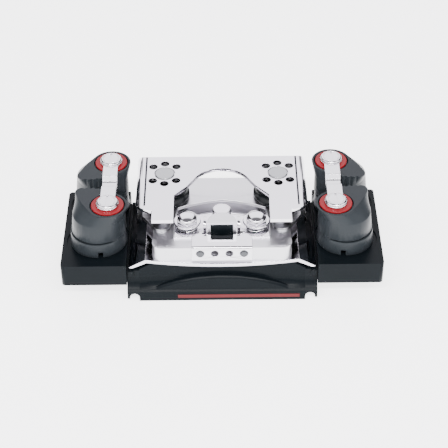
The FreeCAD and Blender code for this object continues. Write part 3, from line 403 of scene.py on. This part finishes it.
def finished(name, mesh, material, slot, body, *nodes):
    """Turn a bmesh into a smooth piece that stands for CAD nodes and rides on a body."""
    bmesh.ops.remove_doubles(mesh, verts=mesh.verts, dist=WELD_VERTS)
    bmesh.ops.recalc_face_normals(mesh, faces=mesh.faces)
    data = bpy.data.meshes.new(name)
    mesh.to_mesh(data)
    mesh.free()
    data.materials.append(material)
    data.polygons.foreach_set("use_smooth", [True] * len(data.polygons))
    data.set_sharp_from_angle(angle=math.radians(SHARP_ANGLE))
    piece = bpy.data.objects.new(name, data)
    bpy.context.collection.objects.link(piece)
    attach(piece, body)
    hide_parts(*nodes)


def spun(mesh, outline, centre, steps=48):
    """Turn an outline of radius and height pairs, in millimetres, about an upright axis."""
    verts = [mesh.verts.new((centre[0] + radius * MM, centre[1], height * MM))
             for radius, height in outline]
    edges = [mesh.edges.new(pair) for pair in zip(verts, verts[1:])]
    bmesh.ops.spin(mesh, geom=verts + edges, cent=(*centre, 0), axis=(0, 0, 1),
                   angle=2 * math.pi, steps=steps, use_merge=True)


HEX_RADIUS = 0.0061
HEX_RISE = 0.0016
HEX_CHAMFER = 0.00035
BOLT_OFFSET = 0.0185
# The next four are millimetres, and the share is the part of the dome that stands upright.
DOME_RADIUS = 5.2
DOME_SINK = 0.1
SHANK_RADIUS = 3.0
SHANK_FOOT = 19.0
UPRIGHT_SHARE = 0.15

bolt_low, bolt_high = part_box("hold_down_bolts")
washer_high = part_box("bolt_washers")[1]
bolt_radius = (bolt_high[0] - bolt_low[0]) / 2 - BOLT_OFFSET
nut_top = bolt_high[2]
nut_foot = washer_high[2]
nut_along = (bolt_low[1] + bolt_high[1]) / 2
dome_foot = (nut_foot + HEX_RISE) / MM
dome_rise = (nut_top - nut_foot - HEX_RISE) / MM
dome = [(DOME_RADIUS, dome_foot - DOME_SINK), (DOME_RADIUS, dome_foot + UPRIGHT_SHARE * dome_rise)]
dome += [(DOME_RADIUS * math.cos(math.radians(turn)),
          dome_foot + dome_rise * (UPRIGHT_SHARE
                                   + (1 - UPRIGHT_SHARE) * math.sin(math.radians(turn))))
         for turn in range(10, 90, 10)]
dome.append((0.0, nut_top / MM))
shank = [(SHANK_RADIUS, SHANK_FOOT), (SHANK_RADIUS, nut_foot / MM)]

nuts = bmesh.new()
for side in (-1, 1):
    centre = (side * (bolt_high[0] - bolt_radius), nut_along)
    hexagon = bmesh.ops.create_cone(nuts, cap_ends=True, segments=6, radius1=HEX_RADIUS,
                                    radius2=HEX_RADIUS, depth=HEX_RISE)
    bmesh.ops.translate(nuts, vec=(*centre, nut_foot + HEX_RISE / 2), verts=hexagon["verts"])
    rims = dict.fromkeys(edge for vert in hexagon["verts"] for edge in vert.link_edges)
    bmesh.ops.bevel(nuts, geom=list(rims), offset=HEX_CHAMFER, affect="EDGES", segments=3,
                    profile=0.5, material=-1)
    spun(nuts, dome, centre)
    spun(nuts, shank, centre, 32)
finished("acorn_nuts", nuts, mirror_steel, "polished_steel", "car", "hold_down_bolts")


# ---- Strap screws ---------------------------------------------------------------------------
# Slotted pan-head machine screws that clamp each tie strap to its cam post. The heads are
# cold formed with a turned ring groove inside the rim, then polished; the slot is sawn.

SLOT_HALF = 0.0006
SLOT_DEPTH = 0.0009
# The rest are millimetres: radii, heights over the seat, and distances in from the rim.
HEAD_RADIUS = 5.75
HEAD_HEIGHT = 1.5
NECK_RADIUS = 2.0
NECK_DEPTH = 1.2
SEAT_INSET = 0.15
FOOT_HEIGHT = 0.2
RIM_INSET = 0.02
SHOULDER_INSET = 0.05
RIM_HEIGHT = 0.5
SHOULDER_IN = 1.2
SHOULDER_UP = 0.75
RING_OUTER, RING_MIDDLE, RING_INNER = 1.35, 1.5, 1.65
RING_TOP = 1.24
RING_FLOOR = 1.05
CROWN_INSET = 2.6
CROWN_DROP = 0.1
FLAT_RADIUS = 1.6
SLOT_FROM = 1.0

head_low, head_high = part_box("strap_screws")
head_top = head_high[2] / MM
seat = head_top - HEAD_HEIGHT
head = [(0.0, seat - NECK_DEPTH), (NECK_RADIUS, seat - NECK_DEPTH), (NECK_RADIUS, seat),
        (HEAD_RADIUS - SEAT_INSET, seat), (HEAD_RADIUS, seat + FOOT_HEIGHT),
        (HEAD_RADIUS - RIM_INSET, seat + RIM_HEIGHT)]
head += [(HEAD_RADIUS - SHOULDER_INSET - SHOULDER_IN * (1 - math.cos(math.radians(turn))),
          seat + RIM_HEIGHT + SHOULDER_UP * math.sin(math.radians(turn)))
         for turn in range(15, 91, 15)]
head += [(HEAD_RADIUS - RING_OUTER, seat + RING_TOP),
         (HEAD_RADIUS - RING_MIDDLE, seat + RING_FLOOR),
         (HEAD_RADIUS - RING_INNER, seat + RING_TOP),
         (HEAD_RADIUS - CROWN_INSET, head_top - CROWN_DROP),
         (FLAT_RADIUS, head_top), (0.0, head_top)]
pivots = [(side * (head_high[0] - HEAD_RADIUS * MM), along)
          for side in (-1, 1)
          for along in (head_low[1] + HEAD_RADIUS * MM, head_high[1] - HEAD_RADIUS * MM)]

heads = bmesh.new()
for centre in pivots:
    before = set(heads.faces)
    spun(heads, head, centre)
    own = [face for face in heads.faces if face not in before]
    for side in (-1, 1):
        around = dict.fromkeys(part for face in own for part in (*face.edges, *face.verts))
        bmesh.ops.bisect_plane(heads, geom=own + list(around),
                               plane_co=(centre[0] + side * SLOT_HALF, 0, 0),
                               plane_no=(1, 0, 0))
        own = [face for face in heads.faces if face not in before]
    floor = [face for face in own
             if abs(face.calc_center_median().x - centre[0]) < SLOT_HALF
             and face.calc_center_median().z > (seat + SLOT_FROM) * MM]
    sunk = bmesh.ops.extrude_face_region(heads, geom=floor)
    moved = [item for item in sunk["geom"] if isinstance(item, bmesh.types.BMVert)]
    bmesh.ops.translate(heads, vec=(0, 0, -SLOT_DEPTH), verts=moved)
    bmesh.ops.delete(heads, geom=floor, context="FACES_ONLY")
finished("pan_head_strap_screws", heads, bright_steel, "screw_steel", "car", "strap_screws")


# ---- Cam washers --------------------------------------------------------------------------
# Thrust washers between each cam and its strap, moulded from red acetal. The strap screw
# holds each one down on its post.

# Red acetal, moulded, with a satin skin.
red_acetal = grainy_finish("moulded_red_acetal", "#800C16", "#740A13",
                           roughness=0.34, grain_mm=0.4, depth_mm=0.008)
dress("cam_washers", red_acetal)
ease_edges("cam_washers", 0.3)


# ---- Cams and their skirts ------------------------------------------------------------------
# Die-cast aluminium, tumbled and hard anodised mid grey. Each cam and its skirt turn on a
# post, on a ring of balls.

# Anodised casting, whose skin keeps a fine pebbled grain.
grey_anodised = grainy_finish("grey_hard_anodised_casting", "#25292C", "#1F2326",
                              roughness=0.32, grain_mm=0.45, depth_mm=0.012, sheen=0.12)
for side in ("left", "right"):
    for row in ("front", "back"):
        for piece in ("cam", "cam_disc"):
            dress(f"{piece}_{side}_{row}", grey_anodised)
            ease_edges(f"{piece}_{side}_{row}", 0.35)


# ---- Sheaves --------------------------------------------------------------------------------
# Turned from black acetal. Each runs on a ring of balls, on an axle riveted through the
# top plate and the cheek plate.

# Black acetal, with the fine even gloss of a turned face.
black_acetal = grainy_finish("turned_black_acetal", "#0E1214", "#0B0E10",
                             roughness=0.26, grain_mm=0.4, depth_mm=0.004)
for side in ("left", "right"):
    dress(f"sheave_{side}", black_acetal)
